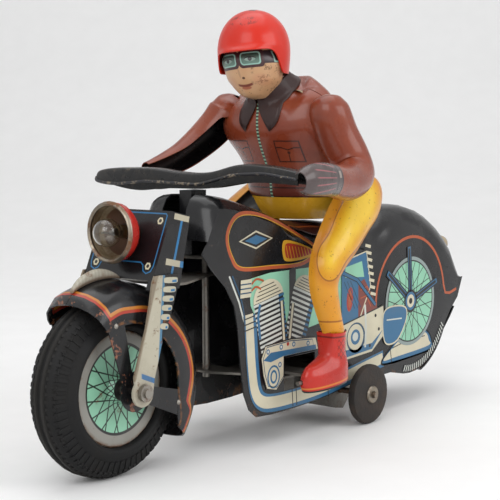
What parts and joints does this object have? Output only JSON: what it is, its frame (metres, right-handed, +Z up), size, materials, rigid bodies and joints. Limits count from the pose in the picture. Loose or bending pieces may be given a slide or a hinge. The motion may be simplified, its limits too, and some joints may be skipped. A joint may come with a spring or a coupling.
{
  "type": "tin toy motorcycle with rider",
  "caption": "Pressed tin toy motorcycle with a seated rider, steering fork with lit lamp, side drive wheels and a rider that leans off the saddle on a boot pin.",
  "frame": {"origin": "centre of the bounding box on the ground plane", "axes": "+X forward, +Y to the rider's left, +Z up"},
  "size_m": [0.3046, 0.1264, 0.1983],
  "materials": {
    "black_lacquer": "gloss lacquer over tin plate",
    "printed_side": "printed tin plate under varnish",
    "cream_print": "printed tin plate under varnish",
    "rider_jacket": "printed tin plate under varnish",
    "rider_trousers": "printed tin plate under varnish",
    "rider_face": "printed tin plate under varnish",
    "red_lacquer": "gloss lacquer over tin plate",
    "brown_lacquer": "satin lacquer over tin plate",
    "wheel_print": "printed tin plate under varnish",
    "tyre_rubber": "worn moulded rubber",
    "drive_rubber": "worn moulded rubber",
    "plated_steel": "worn plating with rust",
    "brass": "plain",
    "bulb_glass": "clear",
    "cell_can": "printed can",
    "tail_lamp_paint": "lacquer over tin plate"
  },
  "bodies": {
    "chassis": {"body_left": "printed_side", "body_right": "printed_side", "saddle": "brown_lacquer", "handlebar": "black_lacquer", "handlebar_post": "black_lacquer", "lower_bracket": "plated_steel", "upper_bracket": "plated_steel", "deck": "plated_steel", "gear_housing": "plated_steel", "motor": "plated_steel", "battery_tray": "plated_steel", "cell_lower": "cell_can", "cell_upper": "cell_can", "contact_front": "brass", "contact_rear": "brass", "door_pin": "plated_steel", "switch_pin": "plated_steel", "tail_lamp": "tail_lamp_paint", "number_plate": "cream_print", "foot_arm": "plated_steel", "foot_pin": "plated_steel"},
    "steering": {"front_axle": "plated_steel", "fork_leg_left": "cream_print", "fork_leg_right": "cream_print", "nacelle": "black_lacquer", "lamp_cup": "red_lacquer", "lamp_rim": "plated_steel", "bulb": "bulb_glass", "bulb_base": "brass", "front_fender_left": "black_lacquer", "front_fender_right": "black_lacquer", "crest": "cream_print", "steering_rod": "plated_steel", "steering_arm": "plated_steel"},
    "front_wheel": {"front_tyre": "tyre_rubber", "wheel_disc_left": "wheel_print", "wheel_disc_right": "wheel_print", "wheel_hub": "plated_steel"},
    "drive": {"drive_axle": "plated_steel", "axle_gear": "brass", "drive_wheel_left": "drive_rubber", "drive_wheel_right": "drive_rubber", "axle_washer_left": "plated_steel", "axle_washer_right": "plated_steel"},
    "idler": {"idler_gear": "brass"},
    "rotor": {"motor_pinion": "brass"},
    "door": {"battery_door": "black_lacquer"},
    "switch": {"switch_lever": "plated_steel"},
    "rider": {"torso_front": "rider_jacket", "torso_back": "rider_jacket", "head": "rider_face", "helmet": "red_lacquer", "arm_left": "rider_jacket", "arm_right": "rider_jacket", "leg_left": "rider_trousers", "boot_left": "red_lacquer"},
    "right_leg": {"leg_right": "rider_trousers", "boot_right": "red_lacquer"}
  },
  "joints": [
    {"name": "steering_turn", "type": "hinge", "parent": "chassis", "child": "steering", "pos_m": [0.05175, 0, 0.0794], "axis": [0, 0, 1], "range_deg": [-12, 12]},
    {"name": "front_wheel_spin", "type": "hinge", "parent": "steering", "child": "front_wheel", "pos_m": [0.11425, 0, 0.038], "axis": [0, 1, 0], "continuous": true},
    {"name": "drive_axle_spin", "type": "hinge", "parent": "chassis", "child": "drive", "pos_m": [-0.03525, 0, 0.01465], "axis": [0, 1, 0], "continuous": true},
    {"name": "idler_spin", "type": "hinge", "parent": "chassis", "child": "idler", "pos_m": [-0.03105, 0, 0.02578], "axis": [0, 1, 0], "continuous": true},
    {"name": "motor_spin", "type": "hinge", "parent": "chassis", "child": "rotor", "pos_m": [-0.0278, 0, 0.0393], "axis": [0, 1, 0], "continuous": true},
    {"name": "battery_door_open", "type": "hinge", "parent": "chassis", "child": "door", "pos_m": [-0.09525, 0, 0.0196], "axis": [0, -1, 0], "range_deg": [0, 50]},
    {"name": "switch_throw", "type": "hinge", "parent": "chassis", "child": "switch", "pos_m": [-0.01375, -0.0156, 0.025], "axis": [0, 1, 0], "range_deg": [-12, 12]},
    {"name": "rider_lean", "type": "hinge", "parent": "chassis", "child": "rider", "pos_m": [0.00925, 0.034, 0.03], "axis": [-1, 0, 0], "range_deg": [0, 20]},
    {"name": "right_hip", "type": "hinge", "parent": "rider", "child": "right_leg", "pos_m": [-0.02575, -0.0255, 0.1195], "axis": [-1, 0, 0], "range_deg": [0, 70]}
  ],
  "couplings": [
    {"joint": "idler_spin", "follows": "drive_axle_spin", "ratio": -2},
    {"joint": "motor_spin", "follows": "drive_axle_spin", "ratio": 6.6667},
    {"joint": "right_hip", "follows": "rider_lean", "ratio": 3.5}
  ]
}
